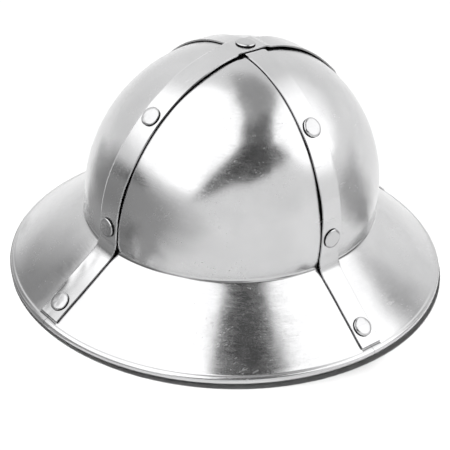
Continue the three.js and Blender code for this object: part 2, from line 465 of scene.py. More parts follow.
def cloud(name, size):
    """Soft noise for uneven hand work."""
    texture = bpy.data.textures.new(name, "CLOUDS")
    texture.noise_scale = size
    texture.noise_depth = 1


def leave_uneven(piece, texture, **settings):
    """Displaces the piece by one of the clouds."""
    add_modifier(
        piece, "DISPLACE", texture=bpy.data.textures[texture], texture_coords="LOCAL", **settings
    )


# Materials. Scales of the patterns in the steel, in waves for each metre
WIDE_TONES = 16.0
SHADE_PATCHES = 22.0
SCRATCHED_PLACES = 45.0
CLOUDY_POLISH = 90.0
SHEET_WAVES = 100.0
SCRATCH_LINES = 620.0
SHADE_GRAIN = 700.0
POLISHED_GRAIN = 800.0
WHEEL_MARKS = 900.0

# Sizes of pits: cells for each metre, and the widest pit's radius as a share of a cell
PITS = ((140.0, 0.055), (400.0, 0.085))

# Directions of the stray scratches, as turns about X, Y and Z
SCRATCH_TURNS = ((0.4, 0.9, 0.5), (1.1, -0.5, 2.0))

# Marks are drawn out along their length: metres for each radian round the hat, and the share of
# their waves that is left along a strap or a scratch
ROUND_DRAW = 0.012
STRAIGHT_DRAW = 0.05

# Most roughness that grain, pits and scratches add
MATT = 0.11

# Heights of the bump in millimetres
SHEET_WAVE_HEIGHT = 0.035
WHEEL_MARK_HEIGHT = 0.005
SCRATCH_HEIGHT = -0.001


def new_material(name):
    material = bpy.data.materials.new(name)
    material.use_nodes = True
    nodes = material.node_tree.nodes
    nodes.clear()
    output = nodes.new("ShaderNodeOutputMaterial")
    shader = nodes.new("ShaderNodeBsdfPrincipled")
    material.node_tree.links.new(shader.outputs["BSDF"], output.inputs["Surface"])
    return material, shader


def add_node(material, kind, inputs=None, **settings):
    """Adds a node; inputs maps socket names or numbers to values or to other nodes' outputs."""
    tree = material.node_tree
    node = tree.nodes.new(kind)
    for key, value in settings.items():
        setattr(node, key, value)
    for key, value in (inputs or {}).items():
        if isinstance(value, bpy.types.NodeSocket):
            tree.links.new(value, node.inputs[key])
        else:
            node.inputs[key].default_value = value
    return node


def math_node(material, operation, first, second=0.0):
    node = add_node(material, "ShaderNodeMath", {0: first, 1: second}, operation=operation)
    return node.outputs["Value"]


def ranged(material, value, low, high, to_low, to_high):
    node = add_node(
        material, "ShaderNodeMapRange",
        {"Value": value, "From Min": low, "From Max": high, "To Min": to_low, "To Max": to_high},
    )
    return node.outputs["Result"]


def noise(material, vector, scale, detail=2.0, roughness=0.5):
    node = add_node(
        material, "ShaderNodeTexNoise",
        {"Vector": vector, "Scale": scale, "Detail": detail, "Roughness": roughness},
    )
    return node.outputs["Fac"]


def buffing_lines(material, place):
    """Coordinates that run slowly round the hat and fast across, for marks of the wheel."""
    parts = add_node(material, "ShaderNodeSeparateXYZ", {"Vector": place})
    turn = math_node(material, "ARCTAN2", parts.outputs["Y"], parts.outputs["X"])
    flat = add_node(
        material, "ShaderNodeCombineXYZ", {"X": parts.outputs["X"], "Y": parts.outputs["Y"]}
    )
    reach = add_node(
        material, "ShaderNodeVectorMath", {0: flat.outputs["Vector"]}, operation="LENGTH"
    )
    slow = math_node(material, "MULTIPLY", turn, ROUND_DRAW)
    lined = add_node(
        material, "ShaderNodeCombineXYZ",
        {"X": slow, "Y": reach.outputs["Value"], "Z": parts.outputs["Z"]},
    )
    return lined.outputs["Vector"]


def strip_lines(material, place, axis):
    """Coordinates for marks that run along a strap."""
    scale = [STRAIGHT_DRAW] * 3
    scale[1 - PART[axis]] = 1.0
    node = add_node(material, "ShaderNodeMapping", {"Vector": place, "Scale": scale})
    return node.outputs["Vector"]


def scratches(material, place, turn):
    """Thin stray scratches in one direction: 1 in a scratch, 0 beside it."""
    turned = add_node(
        material, "ShaderNodeMapping",
        {"Vector": place, "Rotation": turn, "Scale": (1.0, STRAIGHT_DRAW, 1.0)},
    )
    lines = noise(material, turned.outputs["Vector"], SCRATCH_LINES, 1.0)
    places = noise(material, place, SCRATCHED_PLACES, 1.0)
    line = ranged(material, lines, 0.66, 0.72, 0.0, 1.0)
    return math_node(material, "MULTIPLY", line, ranged(material, places, 0.52, 0.60, 0.0, 1.0))


def specks(material, place, scale, widest):
    """Small pits of different sizes: 1 in a pit, 0 beside it."""
    cells = add_node(
        material, "ShaderNodeTexVoronoi", {"Vector": place, "Scale": scale, "Randomness": 1.0}
    )
    chance = add_node(material, "ShaderNodeSeparateColor", {"Color": cells.outputs["Color"]})
    size = ranged(material, chance.outputs["Red"], 0.6, 1.0, 0.0, widest)
    depth = math_node(material, "SUBTRACT", size, cells.outputs["Distance"])
    return ranged(material, depth, 0.0, 0.04, 0.0, 1.0)


def colour_mix(material, share, first, second):
    """Mixes two colours, each a value or another node's output."""
    # The colour sockets of a Mix node come after its number and vector sockets.
    node = add_node(material, "ShaderNodeMix", {0: share, 6: first, 7: second}, data_type="RGBA")
    return node.outputs[2]


def shade_along_straps(material, place, sizes):
    """Painted shade in the gaps by the straps: 1 on the lines where their edges and ends lie on the
    plates, 0 a little way off.
    """
    parts = add_node(material, "ShaderNodeSeparateXYZ", {"Vector": place})
    brim_end = brim_end_row(sizes)
    low = brim_end.z + sizes.strap_end_gap
    above_end = ranged(material, parts.outputs["Z"], low, low + sizes.strap_shade_reach, 0.0, 1.0)

    def near(distance):
        off = math_node(material, "ABSOLUTE", distance)
        return ranged(material, off, 0.0, sizes.strap_shade_reach, 1.0, 0.0)

    straps = []
    for across, along, width, reach in (
        ("X", "Y", sizes.over_width, brim_end.y), ("Y", "X", sizes.under_width, brim_end.x)
    ):
        off_middle = math_node(material, "ABSOLUTE", parts.outputs[across])
        off_edge = math_node(material, "SUBTRACT", off_middle, width / 2)
        edge = math_node(material, "MULTIPLY", near(off_edge), above_end)
        out = math_node(material, "ABSOLUTE", parts.outputs[along])
        off_end = math_node(material, "SUBTRACT", out, reach - 0.5 * sizes.strap_end_gap)
        under = math_node(material, "LESS_THAN", off_edge, 0.0)
        end = math_node(material, "MULTIPLY", near(off_end), under)
        straps.append(math_node(material, "MAXIMUM", edge, end))
    return math_node(material, "MAXIMUM", *straps)


def polished_steel(name, finish, tones, lines, sizes=None):
    """Bright steel with marks of the buffing wheel, grain, stray scratches and small pits.

    With sizes it has painted shade along the straps and in the corner above the brim."""
    material, shader = new_material(name)
    links = material.node_tree.links
    place = add_node(material, "ShaderNodeTexCoord").outputs["Object"]
    if lines == "round":
        marks = buffing_lines(material, place)
    else:
        marks = strip_lines(material, place, lines)
    wide = noise(material, place, WIDE_TONES, 3.0)
    fine_lines = noise(material, marks, WHEEL_MARKS, 3.0, 0.6)
    cloudy = noise(material, place, CLOUDY_POLISH, 4.0, 0.6)
    grain = noise(material, place, POLISHED_GRAIN, 2.0, 0.7)

    tone = colour_mix(
        material, ranged(material, wide, 0.35, 0.65, 0.0, 1.0), (*tones[0], 1.0), (*tones[1], 1.0)
    )
    # Painted shade: the crease line, broken into patches, and the lines along the straps darken the
    # tone.
    if sizes:
        painted_shade = add_node(material, "ShaderNodeAttribute", attribute_name="painted_shade")
        patches = noise(material, place, SHADE_PATCHES, 2.0)
        patchy = ranged(material, patches, 0.42, 0.56, 0.15, 1.0)
        corner = math_node(material, "MULTIPLY", painted_shade.outputs["Fac"], patchy)
        shading = math_node(material, "MAXIMUM", corner, shade_along_straps(material, place, sizes))
        tone = colour_mix(material, shading, tone, (*finish.painted_shade, 1.0))
    links.new(tone, shader.inputs["Base Color"])

    pits = math_node(material, "MAXIMUM", *(specks(material, place, *sizing) for sizing in PITS))
    stray = math_node(
        material, "MAXIMUM", *(scratches(material, place, turn) for turn in SCRATCH_TURNS)
    )
    rubbed = math_node(
        material, "ADD", math_node(material, "MULTIPLY", fine_lines, 0.5),
        math_node(material, "MULTIPLY", cloudy, 0.5),
    )
    polish = ranged(material, rubbed, 0.38, 0.62, finish.polish_fine, finish.polish_worn)
    matt = math_node(
        material, "MAXIMUM", ranged(material, grain, 0.50, 0.85, 0.0, MATT),
        math_node(material, "MULTIPLY", math_node(material, "MAXIMUM", pits, stray), MATT),
    )
    links.new(math_node(material, "ADD", polish, matt), shader.inputs["Roughness"])

    waves = noise(material, place, SHEET_WAVES, 1.0)
    uneven = math_node(material, "MULTIPLY", waves, SHEET_WAVE_HEIGHT)
    lined = math_node(material, "MULTIPLY", fine_lines, WHEEL_MARK_HEIGHT)
    sunk = math_node(material, "MULTIPLY", stray, SCRATCH_HEIGHT)
    height = math_node(material, "ADD", math_node(material, "ADD", uneven, lined), sunk)
    bump = add_node(material, "ShaderNodeBump", {"Strength": 1.0, "Distance": MM, "Height": height})
    links.new(bump.outputs["Normal"], shader.inputs["Normal"])
    shader.inputs["Metallic"].default_value = 1.0
    return material


def painted_shade_steel(name, finish):
    """Painted shade as near-black steel: the straps' undersides and the rivet heads' edges."""
    material, shader = new_material(name)
    links = material.node_tree.links
    place = add_node(material, "ShaderNodeTexCoord").outputs["Object"]
    grain = noise(material, place, SHADE_GRAIN, 3.0)
    dark = (*(0.6 * Vector(finish.shadowed)), 1.0)
    pale = (*(1.6 * Vector(finish.shadowed)), 1.0)
    links.new(colour_mix(material, grain, dark, pale), shader.inputs["Base Color"])
    bump = add_node(
        material, "ShaderNodeBump", {"Strength": 0.2, "Distance": 0.1 * MM, "Height": grain}
    )
    links.new(bump.outputs["Normal"], shader.inputs["Normal"])
    shader.inputs["Specular IOR Level"].default_value = 0.05
    shader.inputs["Roughness"].default_value = finish.shade_roughness
    return material


def floor_paper(colour):
    """Matt paper."""
    material, shader = new_material("floor_paper")
    shader.inputs["Base Color"].default_value = (*colour, 1.0)
    shader.inputs["Roughness"].default_value = 0.9
    shader.inputs["Specular IOR Level"].default_value = 0.0
    return material


# Plates
def plate_blank(sizes):
    """One quarter of the sheet without thickness, at the front right."""
    rows = plate_rows(sizes)
    blank = start_piece("plate_blank")
    draw_line([Vector((0, -row.y, row.z)) for row in rows])
    bpy.ops.mesh.select_all(action="SELECT")
    bpy.ops.mesh.spin(steps=ROUND_STEPS, angle=-math.pi / 2, center=(0, 0, 0), axis=(0, 0, 1))
    bpy.ops.mesh.select_all(action="SELECT")
    bpy.ops.mesh.remove_doubles(threshold=PLATE_WELD)
    rings = ring_members(blank, rows)
    for row, members in zip(rows, rings):
        select_vertices(blank, members)
        bpy.ops.transform.resize(value=(row.x / row.y, 1, 1), center_override=(0, 0, 0))
    half_gap = sizes.gap / 2
    for place, looks in (((half_gap, 0, 0), (1, 0, 0)), ((0, -half_gap, 0), (0, -1, 0))):
        bpy.ops.mesh.select_all(action="SELECT")
        bpy.ops.mesh.bisect(plane_co=place, plane_no=looks, clear_inner=True)
    bpy.ops.object.mode_set(mode="OBJECT")
    low = min(vertex.co.x for vertex in blank.data.vertices)
    high = max(vertex.co.y for vertex in blank.data.vertices)
    raise_unless(low > 0 > high, "the plate was swept to the wrong side")
    return blank


def ring_members(piece, rows):
    """For each row of the section, the vertices of the ring that it was swept into."""
    mesh = bmesh.from_edit_mesh(piece.data)
    rings = [[] for row in rows]
    for vertex in mesh.verts:
        reach = math.hypot(vertex.co.x, vertex.co.y)
        misses = [abs(reach - row.y) + abs(vertex.co.z - row.z) for row in rows]
        rings[misses.index(min(misses))].append(vertex.index)
    return rings


def leave_beaten(plate, sizes):
    """Shallow unevenness of the hammered sheet, which starts above the roll and grows upwards."""
    calm = CALM_RIM * sizes.roll_radius
    group = plate.vertex_groups.new(name="beaten")
    for vertex in plate.data.vertices:
        share = min(max((vertex.co.z - calm) / (2 * calm), 0.0), 1.0)
        group.add([vertex.index], share, "REPLACE")
    leave_uneven(
        plate, "beaten_sheet", strength=sizes.beaten_depth, mid_level=0.5, vertex_group=group.name
    )
    plate.vertex_groups.clear()


def paint_crease_shade(plate, sizes):
    """Marks the line of the corner, where painted shade darkens the crease."""
    line = corner_row(sizes).z + CREASE_SHADE_ABOVE * sizes.corner_leg
    reach = CREASE_SHADE_REACH * sizes.corner_leg
    shares = [max(1 - abs(vertex.co.z - line) / reach, 0.0) for vertex in plate.data.vertices]
    plate.data.attributes.new("painted_shade", "FLOAT", "POINT").data.foreach_set("value", shares)


def middle_of_wall(sizes):
    return Vector((0, 0, sizes.widest_height))


class HAT_OT_plates(bpy.types.Operator):
    """Beat the four plates, each with its quarter of the crown, the brim and the rolled rim"""

    bl_idname = "hat.plates"
    bl_label = "Plates"

    def execute(self, context):
        sizes = context.scene.hat_sizes
        finish = context.scene.hat_finish
        cloud("beaten_sheet", sizes.beaten_size)
        tones = (finish.bright, finish.dull)
        steel = polished_steel("plate_steel", finish, tones, "round", sizes)
        inside = polished_steel("plate_inside", finish, tones, "round")
        blank = plate_blank(sizes)
        for name, (x, y) in PLATES.items():
            plate = copy_of(blank, f"{name}_beaten")
            bpy.ops.object.mode_set(mode="EDIT")
            bpy.ops.mesh.select_all(action="SELECT")
            bpy.ops.transform.resize(value=(x, -y, 1), center_override=(0, 0, 0))
            face_outwards(plate, lambda centre: centre - middle_of_wall(sizes))
            bpy.ops.object.mode_set(mode="OBJECT")
            paint_crease_shade(plate, sizes)
            leave_beaten(plate, sizes)
            # Solidify counts only the materials that are there, so they come first.
            set_materials(plate, [steel, inside])
            add_modifier(
                plate, "SOLIDIFY", thickness=sizes.sheet, offset=-1.0, use_even_offset=True,
                material_offset=1,
            )
            finish_piece(plate, name, [steel, inside])
        bpy.data.objects.remove(blank)
        return {"FINISHED"}


# Straps
def strap_height(sizes):
    """Height of a strap's outside above the crown."""
    return sizes.strap_seat + sizes.strap_thickness


def rivet_angles(sizes, arm):
    """Polar angles of an arm's upper and lower rivets."""
    lower = math.acos((arm["lower"] - sizes.widest_height) / crown_rise(sizes))
    return math.radians(arm["upper"]), lower


def strap_on_crown(sizes, axis, angle):
    """Underside of a strap at that polar angle, with its bow and its climb."""
    upper, lower = rivet_angles(sizes, ARMS["front" if axis == "Y" else "right"])
    between = min(max((angle - upper) / (lower - upper), 0.0), 1.0)
    lift = sizes.strap_seat + BOWS[axis] * math.sin(math.pi * between ** BOW_SKEW) ** 2
    if axis == "Y":
        climb = min(max(1 - angle / sizes.climb_start, 0.0), CLIMB_LIMIT)
        lift += climb * strap_height(sizes)
    reach = (crown_half(sizes, axis) + lift) * math.sin(angle)
    height = sizes.widest_height + (crown_rise(sizes) + lift) * math.cos(angle)
    return Vector((reach, 0, height))


def strap_half(sizes, axis):
    """Underside of one strap arm from its end on the brim up to the top, as reach and height."""
    part = PART[axis]
    corner = corner_row(sizes)
    slope = brim_slope(sizes, axis)
    seat = sizes.strap_seat
    wall = crown_half(sizes, axis) + seat

    def brim_height(reach):
        return corner.z + seat * math.hypot(1, slope) - slope * (reach - corner[part])

    turn = math.pi / 2 - math.atan(slope)
    radius = sizes.bend_radius - seat
    middle = Vector((wall + radius, 0, brim_height(wall) + radius * math.tan(turn / 2)))
    bend = []
    for step in range(BEND_STEPS + 1):
        angle = math.pi + turn * (1 - step / BEND_STEPS)
        bend.append(middle + radius * Vector((math.cos(angle), 0, math.sin(angle))))
    end = brim_end_row(sizes)[part] - sizes.strap_end_gap
    tip = Vector((end, 0, brim_height(end)))
    line = [tip] + straight_rows(tip, bend[0], BRIM_STEPS) + bend[1:]
    line += straight_rows(bend[-1], strap_on_crown(sizes, axis, math.pi / 2), UPRIGHT_STEPS)
    last = sizes.climb_end if axis == "Y" else 0.0
    steps = round(CROWN_STEPS * (1 - last / (math.pi / 2)))
    for step in range(1, steps + 1):
        angle = math.pi / 2 - (math.pi / 2 - last) * step / steps
        line.append(strap_on_crown(sizes, axis, angle))
    if axis == "Y":
        line += crossing_line(sizes, line[-2], line[-1])
    return line


def crossing_line(sizes, before, leave):
    """The upper strap's bend up over the lower strap and its level stretch to the middle."""
    height = sizes.crown_top + sizes.strap_thickness + 2 * sizes.strap_seat
    flat = Vector((sizes.under_width / 2 + LEVEL_MARGIN, 0, height))
    handle = (flat - leave).length / 3
    first = leave + (leave - before).normalized() * handle
    second = flat + Vector((handle, 0, 0))
    line = []
    for step in range(1, CROSSING_STEPS + 1):
        share = step / CROSSING_STEPS
        rest = 1 - share
        line.append(
            rest ** 3 * leave + 3 * rest ** 2 * share * first
            + 3 * rest * share ** 2 * second + share ** 3 * flat
        )
    return line + straight_rows(flat, Vector((0, 0, flat.z)), LEVEL_STEPS)


def strap_strip(sizes, name, axis, width, half):
    """A bent strip without thickness; a vertex group leaves out its left or back edge."""
    line = half + [Vector((-point.x, 0, point.z)) for point in reversed(half[:-1])]
    if axis == "Y":
        line = [Vector((0, point.x, point.z)) for point in line]
    across = Vector((-width, 0, 0)) if axis == "Y" else Vector((0, width, 0))
    strip = start_piece(name)
    draw_line([point - across / 2 for point in line])
    bpy.ops.mesh.select_all(action="SELECT")
    bpy.ops.mesh.extrude_edges_move(TRANSFORM_OT_translate={"value": across})
    mesh = bmesh.from_edit_mesh(strip.data)
    for edge in mesh.edges:
        run = edge.verts[1].co - edge.verts[0].co
        edge.select_set(abs(run.dot(across)) > 0.5 * across.length_squared)
    bmesh.update_edit_mesh(strip.data)
    bpy.ops.mesh.subdivide(number_cuts=STRAP_COLUMNS)
    face_outwards(strip, lambda centre: centre - middle_of_wall(sizes))
    bpy.ops.object.mode_set(mode="OBJECT")
    # The edge lies at half the width, just past this.
    last_column = 0.499 * across.length_squared
    thick = [vertex.index for vertex in strip.data.vertices if vertex.co.dot(across) < last_column]
    strip.vertex_groups.new(name="full_thickness").add(thick, 1.0, "REPLACE")
    return strip


def make_strap(sizes, name, axis, width, materials):
    half = strap_half(sizes, axis)
    strap = strap_strip(sizes, f"{name}_bent", axis, width, half)
    leave_uneven(
        strap, "cut_edge", direction="X" if axis == "Y" else "Y", strength=sizes.edge_wander,
        mid_level=0.5,
    )
    leave_uneven(strap, "bent_strap", strength=0.5 * sizes.beaten_depth, mid_level=0.3)
    if axis == "Y":
        hammer_edge(sizes, strap)
    add_modifier(
        strap, "SOLIDIFY", thickness=sizes.strap_thickness, offset=1.0, use_even_offset=True,
        vertex_group="full_thickness",
        thickness_vertex_group=FILED_EDGES[axis] / sizes.strap_thickness,
    )
    slope_ends(sizes, strap, axis, half)
    paint_underside_shade(sizes, strap)
    add_modifier(
        strap, "BEVEL", width=sizes.strap_arris, segments=1, limit_method="ANGLE",
        angle_limit=ARRIS_ANGLE, material=0,
    )
    strap.vertex_groups.clear()
    finish_piece(strap, name, materials, STRAP_SMOOTH_ANGLE)


def hammer_edge(sizes, strap):
    """Waves in the left edge where the strap lies on the brim, fading out across its width."""
    top = HAMMERED_TOP * sizes.corner_height
    edge = sizes.over_width / 2
    group = strap.vertex_groups.new(name="hammered_edge")
    for vertex in strap.data.vertices:
        if vertex.co.z < top:
            share = max(1 - (edge + vertex.co.x) / (HAMMERED_WIDTH * sizes.over_width), 0.0)
            group.add([vertex.index], min(share, 1.0), "REPLACE")
    leave_uneven(
        strap, "hammered_edge", strength=sizes.hammered_edge, mid_level=0.62,
        vertex_group="hammered_edge",
    )


def slope_ends(sizes, strap, axis, half):
    """Cuts the straps' ends back at the top, so that they slope down to the brim."""
    part = PART[axis]
    back = (half[1] - half[0]).normalized() * sizes.end_slope
    reach = half[0].x + END_TOP
    only(strap)
    bpy.ops.object.mode_set(mode="EDIT")
    for sign in (-1, 1):
        ends = [vertex.index for vertex in strap.data.vertices if sign * vertex.co[part] > reach]
        raise_unless(ends, "the strap has no end to slope")
        select_vertices(strap, ends)
        move = Vector((0, sign * back.x, back.z)) if part else Vector((sign * back.x, 0, back.z))
        bpy.ops.transform.translate(value=move)
    bpy.ops.object.mode_set(mode="OBJECT")


def paint_underside_shade(sizes, strap):
    """Painted shade: the face that lies on the crown gets the near-black steel of the gap."""
    for face in strap.data.polygons:
        if face.normal.dot(face.center - middle_of_wall(sizes)) < 0:
            face.material_index = 1


class HAT_OT_straps(bpy.types.Operator):
    """Bend the two straps over the crown and down to the rim, the front to back one on top"""

    bl_idname = "hat.straps"
    bl_label = "Straps"

    def execute(self, context):
        sizes = context.scene.hat_sizes
        finish = context.scene.hat_finish
        cloud("cut_edge", CUT_EDGE_SIZE)
        cloud("bent_strap", BENT_STRAP_SIZE)
        cloud("hammered_edge", HAMMERED_EDGE_SIZE)
        # Painted shade for the gap under the straps
        dark = painted_shade_steel("strap_underside_shade", finish)
        tones = (finish.bright, finish.dull)
        over = polished_steel("strap_steel_front_to_back", finish, tones, "Y")
        under = polished_steel("strap_steel_side_to_side", finish, tones, "X")
        make_strap(sizes, "strap_side_to_side", "X", sizes.under_width, [under, dark])
        make_strap(sizes, "strap_front_to_back", "Y", sizes.over_width, [over, dark])
        return {"FINISHED"}


# Rivets
def rivet_blank(sizes, grip):
    """A rivet that stands at the origin with its head up; grip is what it holds together."""
    line = []
    for step in range(TAIL_STEPS + 1):
        angle = math.pi / 2 * step / TAIL_STEPS
        reach = sizes.tail_radius * math.sin(angle)
        line.append(Vector((reach, 0, -grip - sizes.tail_height * math.cos(angle))))
    line.append(Vector((sizes.shank_radius, 0, -grip)))
    line.append(Vector((sizes.shank_radius, 0, 0)))
    line.append(Vector((sizes.head_radius - HEAD_UNDERCUT * sizes.head_edge, 0, 0)))
    for step in range(DOME_STEPS + 1):
        angle = math.pi / 2 * step / DOME_STEPS
        reach = sizes.head_radius * max(math.cos(angle), 0.0) ** HEAD_FLATNESS
        line.append(Vector((reach, 0, sizes.head_edge + sizes.head_rise * math.sin(angle))))
    blank = start_piece("rivet_blank")
    draw_line(line)
    bpy.ops.mesh.select_all(action="SELECT")
    bpy.ops.mesh.spin(steps=RIVET_STEPS, angle=2 * math.pi, center=(0, 0, 0), axis=(0, 0, 1))
    bpy.ops.mesh.select_all(action="SELECT")
    bpy.ops.mesh.remove_doubles(threshold=RIVET_WELD)
    face_outwards(blank, lambda centre: Vector((centre.x, centre.y, 0)))
    bpy.ops.object.mode_set(mode="OBJECT")
    # Painted shade: the steep upright edge of the head, and the shank, take the near-black steel.
    for face in blank.data.polygons:
        steep = abs(face.normal.z) < STEEPEST_UNSHADED
        face.material_index = 1 if steep and face.center.z > -0.5 * grip else 0
    return blank


def rivet_stations(sizes):
    """Place and outward direction of each rivet on the straps' arms."""
    corner = corner_row(sizes)
    brim_end = brim_end_row(sizes)
    rise = crown_rise(sizes)
    lift = strap_height(sizes)
    stations = {}
    for side, arm in ARMS.items():
        part = PART[arm["axis"]]
        half = crown_half(sizes, arm["axis"])
        slope = brim_slope(sizes, arm["axis"])
        along = Vector((0, arm["sign"], 0)) if part else Vector((arm["sign"], 0, 0))
        for level, angle in zip(("upper", "lower"), rivet_angles(sizes, arm)):
            looks = along * math.sin(angle) / half + Vector((0, 0, math.cos(angle) / rise))
            looks.normalize()
            base = along * half * math.sin(angle)
            base.z = sizes.widest_height + rise * math.cos(angle)
            stations[f"rivet_{side}_{level}"] = (base + looks * lift, looks)
        foot = corner.lerp(brim_end, arm["brim"])
        looks = (along * slope + Vector((0, 0, 1))).normalized()
        base = along * foot[part]
        base.z = foot.z
        stations[f"rivet_{side}_brim"] = (base + looks * lift, looks)
    return stations


def set_rivet(sizes, blank, name, place, looks, materials):
    rivet = copy_of(blank, f"{name}_set")
    rivet.rotation_mode = "QUATERNION"
    rivet.rotation_quaternion = Vector((0, 0, 1)).rotation_difference(looks)
    rivet.location = place
    bpy.ops.object.transform_apply(location=True, rotation=True, scale=True)
    leave_uneven(rivet, "set_head", strength=0.9 * sizes.beaten_depth, mid_level=0.75)
    finish_piece(rivet, name, materials)


class HAT_OT_rivets(bpy.types.Operator):
    """Set the thirteen rivets, heads outside and plain closed heads inside"""

    bl_idname = "hat.rivets"
    bl_label = "Rivets"

    def execute(self, context):
        sizes = context.scene.hat_sizes
        finish = context.scene.hat_finish
        cloud("set_head", SET_HEAD_SIZE)
        tones = (finish.rivet_bright, finish.rivet_dull)
        steel = polished_steel("rivet_steel", finish, tones, "round")
        # The rivets' second material is the painted shade of their heads' edges.
        materials = [steel, painted_shade_steel("rivet_edge_shade", finish)]
        lift = strap_height(sizes)
        blank = rivet_blank(sizes, lift + sizes.sheet)
        for name, (place, looks) in rivet_stations(sizes).items():
            set_rivet(sizes, blank, name, place, looks, materials)
        long_blank = rivet_blank(sizes, 2 * lift + sizes.sheet)
        top = Vector((0, 0, sizes.crown_top + 2 * lift))
        set_rivet(sizes, long_blank, "rivet_top", top, Vector((0, 0, 1)), materials)
        bpy.data.objects.remove(blank)
        bpy.data.objects.remove(long_blank)
        return {"FINISHED"}


# Studio. Soft boxes and cards stand round this point, and none goes further down than this share
# of the way to the floor.
HAT_MIDDLE = Vector((0, 0, 80 * MM))
LOWEST_PANEL = 0.99

# The lamp over the floor: its direction and the width of its disc, in degrees
FLOOR_LAMP = {"azimuth": -100, "elevation": 60, "spread": 10}

# Width of the floor in metres and of the camera's sensor in millimetres
FLOOR_SIZE = 12
SENSOR_WIDTH = 36.0

# Soft boxes and cards that the steel reflects. Each corner has an azimuth and an elevation in
# degrees, and the share of the way to the panel's middle over which it fades in.
SOFTBOXES = {
    "softbox_front_left": {
        "distance": 1.7,
        "corners": (
            (-38, 16, 0.08), (0, 17, 0.08), (26, 16, 0.08), (37, 26, 0.05), (49, 33, 0.05),
            (62, 39, 0.05), (72, 47, 0.05), (80, 58, 0.05), (86, 70, 0.05), (110, 82, 0.1),
            (-150, 84, 0.1), (-95, 66, 0.2), (-79, 49, 0.2), (-67, 26, 0.15),
        ),
    },
    "softbox_right": {
        "distance": 1.7,
        "corners": (
            (106, 34, 0.08), (110, 24, 0.3), (117, 17, 0.35), (128, 14, 0.2), (146, 15, 0.12),
            (162, 18, 0.4), (184, 26, 0.55), (196, 43, 0.55), (187, 58, 0.45), (150, 62, 0.1),
            (126, 62, 0.1), (98, 59, 0.05), (96, 48, 0.05), (100, 40, 0.05),
        ),
    },
}
CARDS = {
    "card_between": {
        "brightness": 0.12, "distance": 1.2,
        "corners": (
            (23, 8, 0.3), (38, 16, 0.15), (50, 22, 0.15), (69, 27, 0.12), (83, 31, 0.12),
            (99, 31, 0.12), (110, 33, 0.12), (108, 38, 0.1), (102, 46, 0.1), (98, 52, 0.08),
            (97, 58, 0.08), (96, 63, 0.06), (90, 67, 0.06), (74, 71, 0.06), (67, 66, 0.06),
            (66, 60, 0.08), (64, 55, 0.1), (60, 50, 0.15), (50, 44, 0.2), (40, 36, 0.2),
            (31, 26, 0.2),
        ),
    },
    "card_over_neck": {
        "brightness": 0.14, "distance": 0.3,
        "corners": (
            (79, 49, 0.1), (92, 47, 0.1), (95, 53, 0.1), (104, 58, 0.1), (112, 64, 0.5),
            (96, 68, 0.5), (80, 60, 0.2),
        ),
    },
    "card_over_brim": {
        "brightness": 0.055, "distance": 0.3,
        "corners": (
            (46, 26, 0.08), (48, 34, 0.08), (51, 41, 0.08), (58, 49, 0.08), (86, 46, 0.06),
            (84, 38, 0.06), (81, 28, 0.08), (64, 24, 0.1),
        ),
    },
    "card_overhead": {
        "brightness": 0.42, "distance": 1.3,
        "corners": (
            (-117, 60, 0.4), (-150, 61, 0.25), (165, 61, 0.2), (147, 60, 0.15), (113, 58, 0.1),
            (84, 62, 0.1), (70, 66, 0.1), (76, 79, 0.15), (10, 88, 0.2), (-125, 84, 0.25),
            (-116, 72, 0.4),
        ),
    },
    "card_low_front": {
        "brightness": 0.42, "distance": 0.9,
        "corners": (
            (-50, -26, 0.02), (-14, -26, 0.02), (8, -25, 0.08), (24, -23, 0.3), (38, -16, 0.55),
            (48, -4, 0.6), (42, 4, 0.55), (32, 11, 0.45), (6, 16, 0.35), (-22, 16, 0.25),
            (-48, 8, 0.2), (-64, 1, 0.4), (-84, -6, 0.5), (-72, -14, 0.4), (-60, -24, 0.1),
        ),
    },
    "card_dark_front": {
        "brightness": 0.2, "distance": 0.8,
        "corners": (
            (-30, -24, 0.3), (-12, -25, 0.1), (2, -25, 0.4), (3, -16, 0.7), (-6, -9, 0.7),
            (-18, -8, 0.6), (-28, -12, 0.6),
        ),
    },
    "card_dark_spot": {
        "brightness": 0.08, "distance": 0.85,
        "corners": (
            (-48, 1, 0.5), (-26, 1, 0.4), (-9, 1, 0.4), (-6, 9, 0.4), (-14, 15, 0.4),
            (-36, 15, 0.4), (-50, 10, 0.5),
        ),
    },
    "card_beside_front": {
        "brightness": 0.33, "distance": 0.24,
        "corners": (
            (-8, -16, 0.6), (-8, -6, 0.75), (-11, 1, 0.8), (-16, 7, 0.8), (-22, 13, 0.8),
            (-32, 17, 0.75), (-44, 17, 0.6), (-54, 9, 0.7), (-67, 1, 0.85), (-70, -12, 0.85),
            (-54, -17, 0.5), (-30, -17, 0.2),
        ),
    },
    "card_low_right": {
        "brightness": 0.42, "distance": 0.9,
        "corners": (
            (128, 3, 0.6), (127, -10, 0.6), (132, -21, 0.6), (141, -26, 0.4), (152, -27, 0.2),
            (164, -22, 0.6), (168, -13, 0.8), (161, -3, 0.8), (153, 8, 0.7), (138, 11, 0.6),
        ),
    },
    "card_beside_right": {
        "brightness": 0.5, "distance": 0.24,
        "corners": (
            (122, 6, 0.8), (121, -6, 0.8), (126, -17, 0.8), (136, -18, 0.8), (147, -12, 0.9),
            (149, 4, 0.95), (151, 16, 0.95), (143, 19, 0.95), (134, 13, 0.9),
        ),
    },
}


def direction(azimuth, elevation):
    """From the hat; azimuth in degrees from the front to the right, elevation above the floor."""
    turn = math.radians(azimuth)
    lift = math.radians(elevation)
    level = math.cos(lift)
    return Vector((math.sin(turn) * level, -math.cos(turn) * level, math.sin(lift)))


